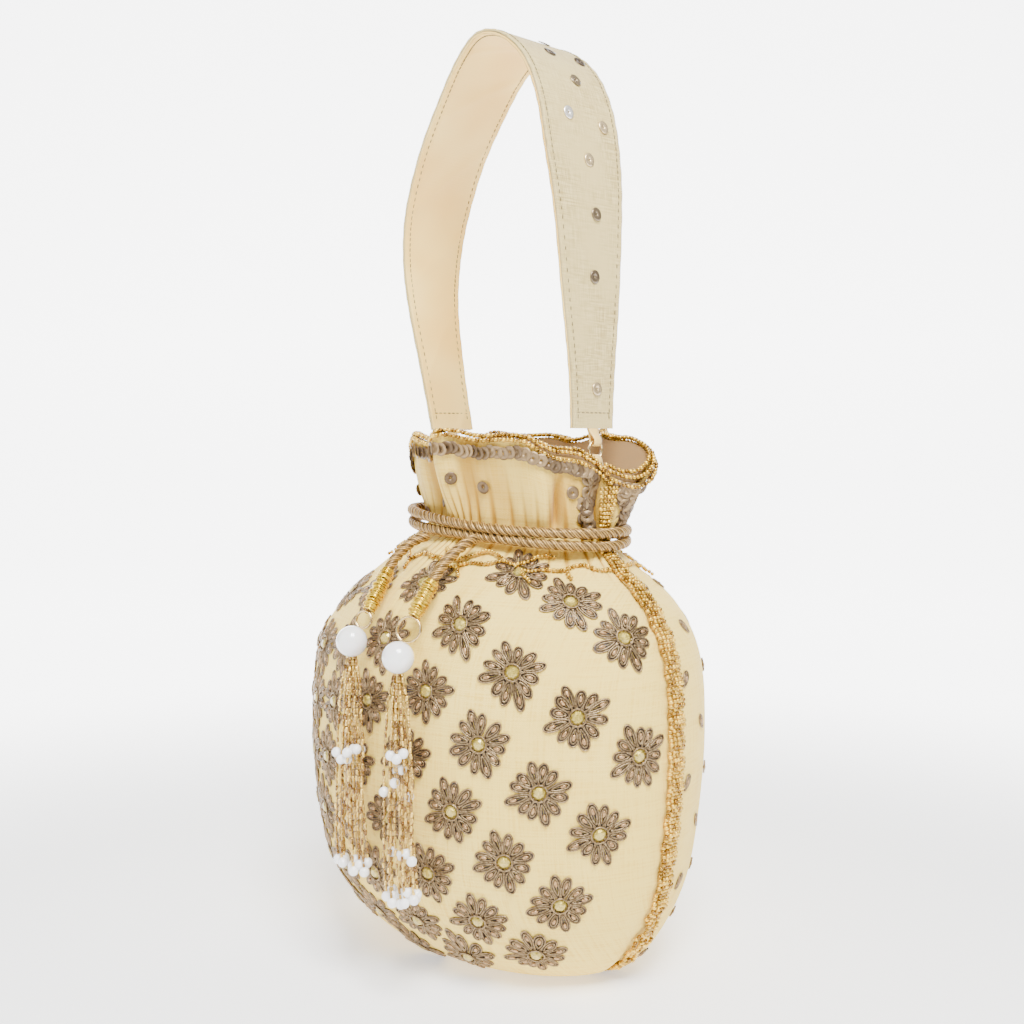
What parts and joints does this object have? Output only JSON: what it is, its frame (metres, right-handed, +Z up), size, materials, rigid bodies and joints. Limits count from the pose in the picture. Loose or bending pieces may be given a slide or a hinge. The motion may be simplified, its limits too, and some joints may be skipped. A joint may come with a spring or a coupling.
{
  "type": "potli bag",
  "caption": "Round drawstring pouch of embroidered cream silk with a frilled neck, beaded seams, pearl tassels and a stiff strap on small rings.",
  "frame": {"origin": "on the floor, under the middle of the pouch", "axes": "+Z up; +X towards the side seam with the slit frill (the near seam); -Y out of the embroidered front panel"},
  "size_m": [0.1868, 0.1538, 0.37],
  "materials": {
    "cream_silk": "matt silk, fine weave",
    "satin_lining": "soft satin sheen",
    "raw_silk": "slubbed raw silk with a silver cast",
    "gold_beads": "glossy gold beads",
    "sequins": "bronze metallic cup sequins",
    "metallic_rope": "twisted metallic thread",
    "gold_wire": "polished gold wire",
    "gold_thread": "bright gold metal thread, wound in turns",
    "pearl": "pearlescent",
    "motif_wire": "antique bronze coiled wire embroidery",
    "motif_stone": "faceted pale gold stone"
  },
  "bodies": {
    "root": {"front_panel": "cream_silk", "back_panel": "cream_silk", "lining": "satin_lining", "seam_beads": "gold_beads", "rim_beads_front": "gold_beads", "rim_beads_back": "gold_beads", "sequin_band_front": "sequins", "sequin_band_back": "sequins", "garland_front": "gold_beads", "garland_back": "gold_beads", "drawstring_upper": "metallic_rope", "drawstring_lower": "metallic_rope", "drawstring_tail_left": "metallic_rope", "whipping_left": "gold_thread", "tassel_ring_left": "gold_wire", "tassel_pearl_left": "pearl", "tassel_fringe_left": "gold_beads", "drawstring_tail_right": "metallic_rope", "whipping_right": "gold_thread", "tassel_ring_right": "gold_wire", "tassel_pearl_right": "pearl", "tassel_fringe_right": "gold_beads", "anchor_loop_near": "satin_lining", "anchor_loop_far": "satin_lining"},
    "strap": {"strap_outer": "raw_silk", "strap_lining": "satin_lining", "strap_tab_near": "satin_lining", "strap_tab_far": "satin_lining", "strap_ring_near": "gold_wire", "strap_ring_far": "gold_wire", "strap_sequin_1": "sequins", "strap_sequin_2": "sequins", "strap_sequin_3": "sequins", "strap_sequin_4": "sequins", "strap_sequin_5": "sequins", "strap_sequin_6": "sequins", "strap_sequin_7": "sequins", "strap_sequin_8": "sequins", "strap_sequin_9": "sequins", "strap_sequin_10": "sequins"}
  },
  "joints": [
    {"name": "strap_swing", "type": "hinge", "parent": "root", "child": "strap", "pos_m": [0.008, 0.002, 0.2045], "axis": [1, 0, 0], "range_deg": [-25, 25]}
  ]
}
